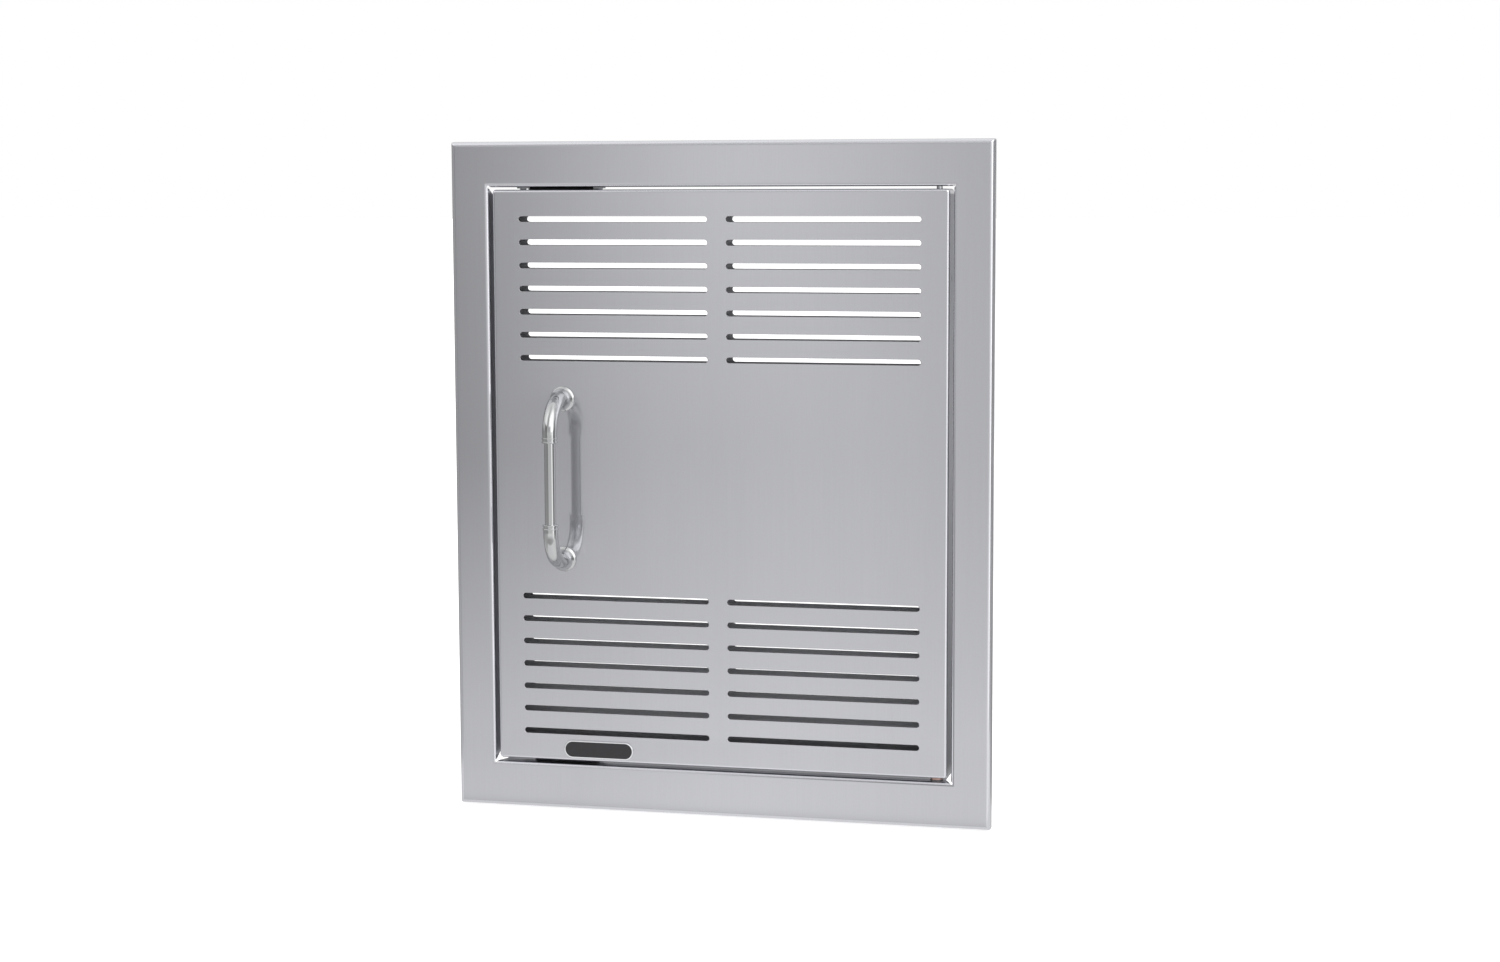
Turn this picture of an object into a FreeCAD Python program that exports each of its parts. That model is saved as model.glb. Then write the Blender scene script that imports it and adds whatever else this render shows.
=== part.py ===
import FreeCAD, Part
import math
import os
import sys

import Sketcher

# Vented access door for a barbecue island: folded frame, double-walled leaf on a
# fixed lower pin and a sprung upper pin, two magnetic catches, and a D-pull.
#
# +X to the right, +Y into the island, +Z up. The origin is the middle of the frame's
# bottom edge, on the plane of the wall that the frame's outer return seats against.
# The frame's face and the leaf's face lie at y = -lip_d.

V = FreeCAD.Vector
doc = FreeCAD.newDocument("access_door")
sheet = doc.addObject("Spreadsheet::Sheet", "Sizes")

SIZES = [
    # frame: one sheet, folded
    ("frame_w", 475.2),        # outside width
    ("frame_h", 584.5),        # outside height
    ("lip_d", 10.0),           # depth of the outer return, face to wall
    ("frame_t", 1.5),          # sheet thickness
    ("open_w", 406.8),         # clear opening between the jambs
    ("open_hgt", 505.4),
    ("open_z", 40.0),          # bottom margin under the opening
    ("jamb_d", 50.0),          # face to the jamb's rear edge
    ("bend_outer", 4.5),       # radius of the outer folded edge
    ("bend_inner", 3.5),       # radius of the bend round the opening
    ("bend_hidden", 1.0),      # and of its hidden side
    ("corner_r", 1.5),         # ground radius of the mitred corners
    ("relief_r", 1.1),         # bend relief at the opening's corners
    ("relief_off", 0.5),
    ("slit_w", 1.7),
    ("wall_trim0", 0.9),       # jamb walls stop short of one another: just behind the face
    ("wall_trim", 6.4),        # and from wall_trim_y to the rear
    ("wall_trim_y", 3.0),
    ("screw_hole_r", 2.25),    # screw holes in the side jambs
    ("screw_hole_y", 25.0),
    ("screw_span", 350.0),
    # leaf
    ("door_w", 400.0),
    ("door_h", 500.0),
    ("door_d", 25.0),
    ("door_t", 1.2),
    ("door_gap", 3.2),         # gap under the leaf
    ("door_bend", 2.8),
    ("liner_t", 1.0),
    ("liner_d", 10.0),
    ("liner_set", 0.2),        # liner face set in from the skin's rear edge
    ("liner_bend", 1.5),
    # vent slots
    ("slot_len", 168.0),
    ("slot_h", 5.0),
    ("slot_mid", 92.2),        # centre of a column from the centre line
    ("slot_pitch", 20.0),
    ("slot_low", 25.8),        # lowest row above the leaf's bottom edge
    ("slot_high", 354.8),      # lowest row of the upper group
    ("slot_rows", 7),
    # pivot line
    ("pivot_x", 190.3),
    ("pivot_back", 8.0),       # behind the leaf's face
    ("pin_r", 2.5),
    ("bush_r", 2.56),
    ("bush_hole_r", 4.0),
    ("bush_flange_r", 5.5),
    ("bush_flange_t", 1.2),
    ("washer_t", 2.0),
    ("washer_r", 5.25),
    ("guide_w", 16.0),         # guide channel of the sprung pin
    ("guide_len", 46.8),
    ("guide_dep", 10.2),
    ("guide_t", 1.5),
    ("lower_len", 26.3),       # channel of the fixed pin
    ("pin_up", 9.5),           # sprung pin above the leaf's top edge
    ("pin_down", 72.0),        # and below it
    ("pin_travel", 9.5),
    ("clip_t", 1.2),
    ("clip_r", 4.6),
    ("clip_down", 4.1),        # underside of the clip below the leaf's top edge
    ("spring_r", 3.9),
    ("spring_wire", 0.35),
    ("spring_turns", 9),
    ("knob_down", 62.0),       # knob stud below the leaf's top edge
    ("knob_r", 6.0),
    ("knob_len", 8.0),
    ("stud_r", 1.45),
    ("neck_r", 2.4),
    ("lower_pin_down", 8.6),
    # magnetic catches
    ("catch_x", -146.0),
    ("catch_y", 16.5),         # front plane of the pole plates
    ("block_w", 58.0),
    ("block_h", 14.0),
    ("block_d", 16.0),
    ("block_set", 0.6),
    ("magnet_w", 52.0),
    ("magnet_t", 6.0),
    ("pole_t", 1.2),
    ("pole_d", 12.0),
    ("saddle_t", 1.2),
    ("saddle_y", 2.0),
    ("saddle_d", 9.0),
    ("ear_long", 10.8),        # the strap's two ears
    ("ear_short", 7.6),
    ("ear_hole", 4.6),         # screw axis from each ear's end
    ("catch_screw_r", 1.5),
    ("strike_w", 74.0),
    ("strike_h", 13.0),
    ("strike_t", 1.5),
    ("strike_edge", 2.2),      # strike's outer edge in from the leaf's edge
    ("rivet_x", 33.0),
    ("rivet_r", 1.5),
    ("rivet_head", 2.9),
    # handle
    ("handle_x", -137.9),
    ("handle_z", 249.6),       # centre above the leaf's bottom edge
    ("handle_span", 140.0),
    ("stand_off", 38.7),
    ("elbow_bend", 28.7),
    ("elbow_r", 6.7),
    ("elbow_end_r", 6.4),
    ("foot_r", 11.0),
    ("foot_edge", 1.7),
    ("flare_out", 3.6),
    ("flare_y0", 2.4),
    ("flare_y1", 10.0),
    ("collar_at", 32.5),       # collar centre from the foot centre
    ("collar_len", 4.6),
    ("collar_r", 7.0),
    ("groove_r", 6.3),
    ("grip_r", 4.9),
    ("spigot_r", 3.5),
    ("spigot_len", 8.0),
    ("handle_screw_r", 2.05),
    ("handle_hole_r", 2.6),
    ("handle_bite", 8.0),
    # badge
    ("badge_x", -108.1),
    ("badge_z", 10.8),         # centre above the leaf's bottom edge
    ("badge_half", 23.6),
    ("badge_r", 7.75),
    ("badge_t", 1.8),
    ("badge_rim", 1.0),
    ("badge_recess", 0.7),
    ("badge_stud_x", 20.0),
    ("badge_stud_r", 1.2),
]
for row, (alias, value) in enumerate(SIZES, 1):
    sheet.set("A%d" % row, alias)
    sheet.set("B%d" % row, repr(value))
    sheet.setAlias("B%d" % row, alias)
doc.recompute()


class Size:
    """A length read from the sheet, kept both as a number and as the expression that gives it."""

    def __init__(self, text, value):
        self.text, self.value = text, float(value)

    @staticmethod
    def of(x):
        return x if isinstance(x, Size) else Size(repr(float(x)), x)

    def _with(self, other, sign, value):
        return Size("(%s %s %s)" % (self.text, sign, other.text), value)

    def __add__(self, o):
        o = Size.of(o)
        return self._with(o, "+", self.value + o.value)

    def __radd__(self, o):
        return Size.of(o) + self

    def __sub__(self, o):
        o = Size.of(o)
        return self._with(o, "-", self.value - o.value)

    def __rsub__(self, o):
        return Size.of(o) - self

    def __mul__(self, o):
        o = Size.of(o)
        return self._with(o, "*", self.value * o.value)

    def __rmul__(self, o):
        return Size.of(o) * self

    def __truediv__(self, o):
        o = Size.of(o)
        return self._with(o, "/", self.value / o.value)

    def __neg__(self):
        return Size("(0 - %s)" % self.text, -self.value)


class Sheet:
    """S.door_w is the cell called door_w."""

    def __getattr__(self, alias):
        return Size("Sizes.%s" % alias, sheet.get(alias))


S = Sheet()


def bind(obj, prop, size):
    size = Size.of(size)
    obj.setExpression(prop, size.text)


def place(obj, x=0.0, y=0.0, z=0.0, axis=None, angle=0.0):
    """Puts an object in the row frame; each coordinate stays bound to the sheet."""
    turn = FreeCAD.Rotation(axis, angle) if axis else FreeCAD.Rotation()
    x, y, z = Size.of(x), Size.of(y), Size.of(z)
    obj.Placement = FreeCAD.Placement(V(x.value, y.value, z.value), turn)
    for name, size in (("x", x), ("y", y), ("z", z)):
        if "Sizes" in size.text:
            obj.setExpression("Placement.Base.%s" % name, size.text)


def new_body(label):
    body = doc.addObject("PartDesign::Body", label)
    body.Label = label
    return body


def plane(body, role):
    return [o for o in body.Origin.OriginFeatures if o.Role == role][0]


class Outline:
    """A sketch on one of its body's own origin planes, with every point held by a bound size."""

    def __init__(self, body, name, role="XZ_Plane", lift=None):
        self.sk = body.newObject("Sketcher::SketchObject", name)
        self.sk.AttachmentSupport = [(plane(body, role), "")]
        self.sk.MapMode = "FlatFace"
        if lift is not None:
            lift = Size.of(lift)
            self.sk.AttachmentOffset = FreeCAD.Placement(V(0, 0, lift.value), FreeCAD.Rotation())
            if "Sizes" in lift.text:
                self.sk.setExpression("AttachmentOffset.Base.z", lift.text)

    def _hold(self, kind, geo, pos, size):
        size = Size.of(size)
        n = self.sk.addConstraint(Sketcher.Constraint(kind, geo, pos, size.value))
        if "Sizes" in size.text:
            self.sk.setExpression("Constraints[%d]" % n, size.text)

    def pin_point(self, geo, pos, x, z):
        self._hold("DistanceX", geo, pos, x)
        self._hold("DistanceY", geo, pos, z)

    def radius(self, geo, size):
        size = Size.of(size)
        n = self.sk.addConstraint(Sketcher.Constraint("Radius", geo, size.value))
        if "Sizes" in size.text:
            self.sk.setExpression("Constraints[%d]" % n, size.text)

    def circle(self, x, z, r):
        x, z, r = Size.of(x), Size.of(z), Size.of(r)
        g = self.sk.addGeometry(Part.Circle(V(x.value, z.value, 0), V(0, 0, 1), r.value), False)
        self.radius(g, r)
        self.pin_point(g, 3, x, z)

    def poly(self, points):
        """A closed outline of straight edges. Each corner is held at its own bound place."""
        pts = [(Size.of(a), Size.of(b)) for a, b in points]
        first = None
        n = len(pts)
        ids = []
        for i in range(n):
            a, b = pts[i], pts[(i + 1) % n]
            ids.append(self.sk.addGeometry(
                Part.LineSegment(V(a[0].value, a[1].value, 0), V(b[0].value, b[1].value, 0)), False))
        for i in range(n):
            self.sk.addConstraint(Sketcher.Constraint("Coincident", ids[i], 2, ids[(i + 1) % n], 1))
        for i in range(n):
            self.pin_point(ids[i], 1, pts[i][0], pts[i][1])

    def rect(self, x0, z0, x1, z1):
        self.poly([(x0, z0), (x1, z0), (x1, z1), (x0, z1)])

    def obround(self, x, z, half, r, upright=False):
        """A slot with round ends; half is the centre distance of its end arcs over two."""
        x, z, half, r = Size.of(x), Size.of(z), Size.of(half), Size.of(r)
        if upright:
            ends = [(x, z + half), (x, z - half)]
            angles = [(0, math.pi), (math.pi, 2 * math.pi)]
        else:
            ends = [(x - half, z), (x + half, z)]
            angles = [(math.pi / 2, 3 * math.pi / 2), (-math.pi / 2, math.pi / 2)]
        arcs = []
        for (cx, cz), (a0, a1) in zip(ends, angles):
            c = Part.Circle(V(cx.value, cz.value, 0), V(0, 0, 1), r.value)
            arcs.append(self.sk.addGeometry(Part.ArcOfCircle(c, a0, a1), False))

        def at(k, a):
            cx, cz = ends[k]
            return V(cx.value + r.value * math.cos(a), cz.value + r.value * math.sin(a), 0)

        l0 = self.sk.addGeometry(Part.LineSegment(at(0, angles[0][1]), at(1, angles[1][0])), False)
        l1 = self.sk.addGeometry(Part.LineSegment(at(1, angles[1][1]), at(0, angles[0][0])), False)
        for arc, ap, line, lp in ((arcs[0], 2, l0, 1), (arcs[1], 1, l0, 2), (arcs[1], 2, l1, 1), (arcs[0], 1, l1, 2)):
            self.sk.addConstraint(Sketcher.Constraint("Tangent", arc, ap, line, lp))
        self.radius(arcs[0], r)
        self.sk.addConstraint(Sketcher.Constraint("Equal", arcs[0], arcs[1]))
        for arc, (cx, cz) in zip(arcs, ends):
            self.pin_point(arc, 3, cx, cz)


def feature(body, kind, name, outline=None):
    f = body.newObject("PartDesign::" + kind, name)
    if outline is not None:
        f.Profile = outline.sk
    return f


def settle(body, f, grows, before):
    """Recomputes and makes sure that a feature added or removed material as it was meant to."""
    body.Tip = f
    doc.recompute()
    if f.Shape.isNull() or "Invalid" in f.State or "Error" in f.State:
        sys.exit("%s of %s failed: %s" % (f.Name, body.Label, f.State))
    after = f.Shape.Volume
    if grows is True and not after > before + 1e-6:
        sys.exit("%s of %s added nothing" % (f.Name, body.Label))
    if grows is False and not after < before - 1e-6:
        sys.exit("%s of %s cut nothing" % (f.Name, body.Label))
    return f


def volume(body):
    return 0.0 if body.Tip is None or body.Shape.isNull() else body.Shape.Volume


def pad(body, name, outline, length, back=False, both=False):
    before = volume(body)
    f = feature(body, "Pad", name, outline)
    bind(f, "Length", length)
    f.Reversed = back
    if both:
        f.SideType = "Symmetric"
    return settle(body, f, True, before)


def pocket(body, name, outline, length=None, back=False, both=False):
    before = volume(body)
    f = feature(body, "Pocket", name, outline)
    if length is None:
        f.Type = "ThroughAll"
    else:
        bind(f, "Length", length)
    f.Reversed = back
    if both:
        f.SideType = "Symmetric"
    return settle(body, f, False, before)


def revolve(body, name, outline, axis="V_Axis"):
    before = volume(body)
    f = feature(body, "Revolution", name, outline)
    f.ReferenceAxis = (outline.sk, [axis])
    f.Angle = 360.0
    return settle(body, f, True, before)


def repeat(body, name, original, direction, length, count, grows):
    before = volume(body)
    f = feature(body, "LinearPattern", name)
    f.Originals = [original]
    f.Direction = direction
    f.Mode = "Extent"
    bind(f, "Length", length)
    bind(f, "Occurrences", count)
    return settle(body, f, grows, before)


def edges_where(shape, test):
    return ["Edge%d" % (i + 1) for i, e in enumerate(shape.Edges) if test(e)]


def fillet(body, name, test, radius, kind="Fillet", expect=None):
    base = body.Tip
    names = edges_where(base.Shape, test)
    if not names or (expect is not None and len(names) != expect):
        sys.exit("%s of %s found %d edges" % (name, body.Label, len(names)))
    f = feature(body, kind, name)
    f.Base = (base, names)
    bind(f, "Radius" if kind == "Fillet" else "Size", radius)
    return settle(body, f, None, 0.0)


def near(a, b, tol=1e-4):
    return abs(a - b) < tol


def along(e, axis):
    """True for a straight edge that runs along an axis."""
    b = e.BoundBox
    spans = {"x": b.XLength, "y": b.YLength, "z": b.ZLength}
    return all(spans[k] < 1e-6 for k in spans if k != axis) and spans[axis] > 1e-6


def in_plane(e, axis, value):
    b = e.BoundBox
    lo, hi = {"x": (b.XMin, b.XMax), "y": (b.YMin, b.YMax), "z": (b.ZMin, b.ZMax)}[axis]
    return near(lo, value) and near(hi, value)


pivot_y = S.pivot_back - S.lip_d                 # pivot line behind the wall plane
door_z = S.open_z + S.door_gap                   # leaf's bottom edge
open_top = S.open_z + S.open_hgt
half_open_w = S.open_w / 2
parts = []


# ---------------------------------------------------------------- frame
def make_frame():
    b = new_body("face_frame")
    hw, t = S.frame_w / 2, S.frame_t
    o = Outline(b, "frame_outline")
    o.rect(-hw, 0, hw, S.frame_h)
    pad(b, "frame_face", o, S.lip_d)
    front = -S.lip_d.value
    fillet(b, "frame_bend", lambda e: in_plane(e, "y", front), S.bend_outer, expect=4)
    # the mitres are ground along their whole ridge
    fillet(b, "frame_corners", lambda e: along(e, "y"), S.corner_r, expect=4)
    # jamb box behind the face
    jx, jz0, jz1 = half_open_w + t, S.open_z - t, open_top + t
    o = Outline(b, "jamb_outline")
    o.rect(-jx, jz0, jx, jz1)
    pad(b, "jamb_box", o, S.jamb_d - S.lip_d, back=True)
    # the hollow between the outer return and the jambs
    o = Outline(b, "return_hollow_outline")
    o.rect(-(hw - t), t, hw - t, S.frame_h - t)
    o.rect(-jx, jz0, jx, jz1)
    pocket(b, "return_hollow", o, S.lip_d - t, back=True)
    back_of_face = front + t.value
    lim, low, high = hw.value - t.value, t.value, S.frame_h.value - t.value
    fillet(b, "return_inner_bend",
           lambda e: in_plane(e, "y", back_of_face) and (
               in_plane(e, "x", -lim) or in_plane(e, "x", lim) or in_plane(e, "z", low) or in_plane(e, "z", high)),
           S.bend_outer - t, expect=4)
    wx, w0, w1 = jx.value, jz0.value, jz1.value
    fillet(b, "jamb_hidden_bend",
           lambda e: in_plane(e, "y", back_of_face) and (
               in_plane(e, "x", -wx) or in_plane(e, "x", wx) or in_plane(e, "z", w0) or in_plane(e, "z", w1)),
           S.bend_hidden, expect=4)
    o = Outline(b, "opening_outline")
    o.rect(-half_open_w, S.open_z, half_open_w, open_top)
    pocket(b, "opening", o, S.jamb_d * 3, both=True)
    ow = half_open_w.value
    fillet(b, "opening_bend",
           lambda e: in_plane(e, "y", front) and max(abs(e.BoundBox.XMin), abs(e.BoundBox.XMax)) < ow + 0.1,
           S.bend_inner, expect=4)
    # a slit across each corner of the face, ending in a round bend relief
    d = S.slit_w / 2 * 0.70710678
    k = S.relief_off
    o = Outline(b, "seam_outline")
    for sx, cx in ((-1, -half_open_w), (1, half_open_w)):
        for sz, cz in ((-1, S.open_z), (1, open_top)):
            o.poly([
                (cx - sx * 3.0 - sx * d, cz - sz * 3.0 + sz * d),
                (cx - sx * 3.0 + sx * d, cz - sz * 3.0 - sz * d),
                (cx + sx * k + sx * d, cz + sz * k - sz * d),
                (cx + sx * k - sx * d, cz + sz * k + sz * d),
            ])
    pocket(b, "corner_slits", o, S.jamb_d * 3, both=True)
    o = Outline(b, "relief_outline")
    for cx, sx in ((-half_open_w, -1), (half_open_w, 1)):
        for cz, sz in ((S.open_z, -1), (open_top, 1)):
            o.circle(cx + sx * k, cz + sz * k, S.relief_r)
    pocket(b, "bend_reliefs", o, S.jamb_d * 3, both=True)
    # each jamb wall is trimmed back at its ends, so the four walls never meet
    f0, f1, f2 = t - S.lip_d, S.wall_trim_y, S.jamb_d - S.lip_d + 1
    o = Outline(b, "side_wall_ends", "YZ_Plane")
    for z, s in ((S.open_z, 1), (open_top, -1)):
        o.poly([(f0, z), (f0, z + s * S.wall_trim0), (f1, z + s * S.wall_trim), (f2, z + s * S.wall_trim), (f2, z)])
    pocket(b, "side_wall_trim", o, S.open_w + 2 * t + 1, both=True)
    o = Outline(b, "cross_wall_ends", "XY_Plane", lift=S.open_z + S.open_hgt / 2)
    for s in (-1, 1):
        x = s * half_open_w
        o.poly([(x, f0), (x - s * S.wall_trim0, f0), (x - s * S.wall_trim, f1), (x - s * S.wall_trim, f2), (x, f2)])
    pocket(b, "cross_wall_trim", o, S.open_hgt + 2 * t + 1, both=True)
    o = Outline(b, "corner_column_outline", lift=-f0)
    for sx in (-1, 1):
        for sz, cz in ((-1, S.open_z), (1, open_top)):
            x = sx * half_open_w
            o.rect(x - sx * 0.02, cz - sz * 0.02, x + sx * (t + S.bend_hidden + 0.3), cz + sz * (t + S.bend_hidden + 0.3))
    pocket(b, "corner_columns", o, S.jamb_d + 5)
    # screw holes in the side jambs
    o = Outline(b, "screw_outline", "YZ_Plane")
    mid = S.open_z + S.open_hgt / 2
    o.circle(S.screw_hole_y, mid - S.screw_span / 2, S.screw_hole_r)
    o.circle(S.screw_hole_y, mid + S.screw_span / 2, S.screw_hole_r)
    pocket(b, "jamb_screw_holes", o, S.open_w + 20, both=True)
    # bush and catch holes in the top and bottom jambs
    o = Outline(b, "jamb_hole_outline", "XY_Plane", lift=mid)
    o.circle(S.pivot_x, pivot_y, S.bush_hole_r)
    for s in (-1, 1):
        ear = S.ear_long if s < 0 else S.ear_short
        o.circle(S.catch_x + s * (S.block_w / 2 + S.saddle_t + ear - S.ear_hole),
                 S.catch_y + S.saddle_y + S.saddle_d / 2, S.catch_screw_r + 0.05)
    pocket(b, "jamb_holes", o, S.open_hgt + 12, both=True)
    parts.append(b)


# ---------------------------------------------------------------- pivots
def ring_body(label, profile, x, y, z):
    b = new_body(label)
    o = Outline(b, label + "_outline")
    o.poly(profile)
    revolve(b, label + "_turned", o)
    place(b, x, y, z)
    parts.append(b)
    return b


def make_pivots():
    r, t = S.bush_hole_r - 0.03, S.frame_t
    ring_body("upper_pivot_bush", [
        (S.bush_r, 0), (r, 0), (r, t), (S.bush_flange_r - 0.1, t), (S.bush_flange_r - 0.1, t + 1.5),
        (r + 0.5, t + 1.5), (r + 0.5, 8.2), (r, 8.7), (S.bush_r + 0.3, 8.7), (S.bush_r, 8.4)],
        S.pivot_x, pivot_y, open_top)
    ring_body("lower_pivot_bush", [
        (S.bush_r, -6.5), (r - 0.4, -6.5), (r, -6.1), (r, 0), (S.bush_flange_r, 0),
        (S.bush_flange_r, S.bush_flange_t - 0.2), (S.bush_flange_r - 0.2, S.bush_flange_t), (S.bush_r, S.bush_flange_t)],
        S.pivot_x, pivot_y, S.open_z)
    w = S.washer_t
    ring_body("thrust_washer", [
        (S.bush_r, 0.2), (S.bush_r + 0.2, 0), (S.washer_r - 0.3, 0), (S.washer_r, 0.3), (S.washer_r, w - 0.3),
        (S.washer_r - 0.3, w), (S.bush_r + 0.2, w), (S.bush_r, w - 0.2)],
        S.pivot_x, pivot_y, S.open_z + S.bush_flange_t)
    # fixed headed pin; its head rests on the upper flange of the lower channel
    top = S.door_t + S.lower_len
    p = S.pin_r
    ring_body("lower_pivot_pin", [
        (0, -S.lower_pin_down), (p - 0.8, -S.lower_pin_down), (p, 0.8 - S.lower_pin_down), (p, top), (p + 1.5, top),
        (p + 1.5, top + 1.2), (p + 1.1, top + 1.6), (0, top + 1.6)],
        S.pivot_x, pivot_y, door_z)
    # sprung pin, with a groove for its clip and a cross hole for the knob's stud
    d, u = -S.pin_down, S.pin_up
    c0 = -S.clip_down
    c1 = c0 + S.clip_t
    b = ring_body("upper_pivot_pin", [
        (0, d), (p - 0.6, d), (p, d + 0.6), (p, c0 - 0.05), (p - 0.5, c0 - 0.05), (p - 0.5, c1 + 0.05),
        (p, c1 + 0.05), (p, u - 1.2), (p - 1.1, u), (0, u)],
        S.pivot_x, pivot_y, door_z + S.door_h)
    o = Outline(b, "stud_hole_outline")
    o.circle(0, -S.knob_down, S.stud_r + 0.05)
    pocket(b, "stud_hole", o, 10, both=True)
    b = ring_body("pin_clip", [
        (p - 0.45, 0), (S.clip_r, 0), (S.clip_r, S.clip_t), (p - 0.45, S.clip_t)],
        S.pivot_x, pivot_y, door_z + S.door_h - S.clip_down)
    o = Outline(b, "clip_gap_outline", "XY_Plane")
    o.rect(-1.7, 0.5, 1.7, 6.0)
    pocket(b, "clip_gap", o, 6, both=True)


def channel(label, length, z, cut_head):
    """A channel folded from strip: two flanges that carry a pin, and a web on the leaf's side wall."""
    b = new_body(label)
    x1 = S.door_w / 2 - S.door_t
    x0 = x1 - S.guide_w
    t = S.guide_t
    o = Outline(b, label + "_outline")
    o.rect(x0, 0, x1, length)
    pad(b, label + "_blank", o, S.guide_dep, back=True)
    wall = x1.value
    fillet(b, label + "_bends", lambda e: along(e, "y") and near(e.BoundBox.XMin, wall), t + 0.5, expect=2)
    o = Outline(b, label + "_inner_outline")
    o.rect(x0 - 1, t, x1 - t, length - t)
    pocket(b, label + "_inner", o, 60, both=True)
    o = Outline(b, label + "_pin_outline", "XY_Plane")
    o.circle(S.pivot_x, S.guide_dep / 2, S.bush_r)
    pocket(b, label + "_pin_holes", o, 200, both=True)
    place(b, 0, pivot_y - S.guide_dep / 2, z)
    parts.append(b)


def make_channels():
    channel("pin_guide_bracket", S.guide_len, door_z + S.door_h - S.door_t - S.guide_len, False)
    channel("lower_pivot_bracket", S.lower_len, door_z + S.door_t, True)


def make_spring_and_knob():
    b = new_body("pin_spring")
    o = Outline(b, "wire_outline")
    o.circle(S.spring_r, 0, S.spring_wire)
    f = feature(b, "AdditiveHelix", "coils", o)
    f.ReferenceAxis = (o.sk, ["V_Axis"])
    f.Mode = "height-turns-angle"
    low = S.door_t + S.guide_len - S.guide_t          # lower flange's top below the leaf's top edge
    height = low - S.clip_down - 2 * S.spring_wire - 0.1
    bind(f, "Height", height)
    bind(f, "Turns", S.spring_turns)
    f.Angle = 0.0
    settle(b, f, True, 0.0)
    place(b, S.pivot_x, pivot_y, door_z + S.door_h - low + S.spring_wire + 0.05)
    parts.append(b)

    b = new_body("release_knob")
    o = Outline(b, "knob_outline", "XY_Plane")
    p, back = S.pin_r, S.door_d - S.pivot_back + 0.6     # knob's front face behind the leaf's rear
    k, n = S.knob_r, S.neck_r
    end = back + S.knob_len
    o.poly([(0, -p - 0.2), (S.stud_r, -p - 0.2), (S.stud_r, p + 0.02), (n, p + 0.02), (n, back), (k - 0.6, back),
            (k, back + 0.6), (k, back + 2.2), (k - 0.7, back + 2.8), (k - 0.7, end - 3.2), (k, end - 2.6),
            (k, end - 0.9), (k - 0.9, end), (0, end)])
    revolve(b, "knob_turned", o)
    place(b, S.pivot_x, pivot_y, door_z + S.door_h - S.knob_down)
    parts.append(b)


# ---------------------------------------------------------------- leaf
def cut_slots(b, tag, deep, **how):
    """Two columns of seven slots near the bottom edge and two near the top."""
    for group, z in (("lower", S.slot_low), ("upper", S.slot_high)):
        o = Outline(b, "%s_%s_slot_outline" % (tag, group))
        half = (S.slot_len - S.slot_h) / 2
        o.obround(-S.slot_mid, z, half, S.slot_h / 2)
        o.obround(S.slot_mid, z, half, S.slot_h / 2)
        f = pocket(b, "%s_%s_slot" % (tag, group), o, deep, **how)
        repeat(b, "%s_%s_slots" % (tag, group), f, (o.sk, ["V_Axis"]),
               S.slot_pitch * (S.slot_rows - 1), S.slot_rows, False)


def make_leaf():
    hw, t = S.door_w / 2, S.door_t
    b = new_body("door_skin")
    o = Outline(b, "skin_outline")
    o.rect(-hw, 0, hw, S.door_h)
    pad(b, "skin_block", o, S.door_d, back=True)
    fillet(b, "skin_corners", lambda e: along(e, "y"), S.door_bend, expect=4)
    fillet(b, "skin_bend", lambda e: in_plane(e, "y", 0.0), S.door_bend - 0.05, expect=8)
    o = Outline(b, "skin_hollow_outline", lift=-S.door_d)
    o.rect(-(hw - t), t, hw - t, S.door_h - t)
    pocket(b, "skin_hollow", o, S.door_d - t, back=True)
    lim, top = hw.value - t.value, S.door_h.value - t.value
    fillet(b, "skin_inner_bend", lambda e: in_plane(e, "y", t.value), S.door_bend - t, expect=4)
    cut_slots(b, "skin", 8, both=True)
    # handle and badge holes
    o = Outline(b, "fixing_outline")
    for s in (-1, 1):
        o.circle(S.handle_x, S.handle_z + s * S.handle_span / 2, S.handle_hole_r)
        o.circle(S.badge_x + s * S.badge_stud_x, S.badge_z, S.badge_stud_r + 0.15)
    pocket(b, "fixing_holes", o, 8, both=True)
    # pin holes in the top and bottom edges
    o = Outline(b, "edge_hole_outline", "XY_Plane", lift=S.door_h / 2)
    o.circle(S.pivot_x, S.pivot_back, S.pin_r + 0.2)
    pocket(b, "edge_holes", o, S.door_h + 10, both=True)
    place(b, 0, -S.lip_d, door_z)
    parts.append(b)

    b = new_body("door_liner")
    w, u = hw - t, S.liner_t
    rear = S.door_d - S.liner_set
    o = Outline(b, "liner_outline", lift=-rear)
    o.rect(-w, t, w, S.door_h - t)
    pad(b, "liner_block", o, S.liner_d)
    fillet(b, "liner_corners", lambda e: along(e, "y"), S.liner_bend, expect=4)
    at = rear.value
    fillet(b, "liner_bend", lambda e: in_plane(e, "y", at), S.liner_bend - 0.05, expect=8)
    o = Outline(b, "liner_hollow_outline", lift=-(rear - S.liner_d))
    o.rect(-(w - u), t + u, w - u, S.door_h - t - u)
    pocket(b, "liner_hollow", o, S.liner_d - u)
    cut_slots(b, "liner", 80, both=True)
    # the knob's slot, and the rivet holes of the strike plates
    o = Outline(b, "liner_hole_outline")
    o.obround(S.pivot_x, S.door_h - S.knob_down - S.pin_travel / 2, S.pin_travel / 2, S.neck_r + 0.3, upright=True)
    for s in (-1, 1):
        for z in (S.strike_edge + S.strike_h / 2, S.door_h - S.strike_edge - S.strike_h / 2):
            o.circle(S.catch_x + s * S.rivet_x, z, S.rivet_r + 0.05)
    pocket(b, "liner_holes", o, 80, both=True)
    place(b, 0, -S.lip_d, door_z)
    parts.append(b)


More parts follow.
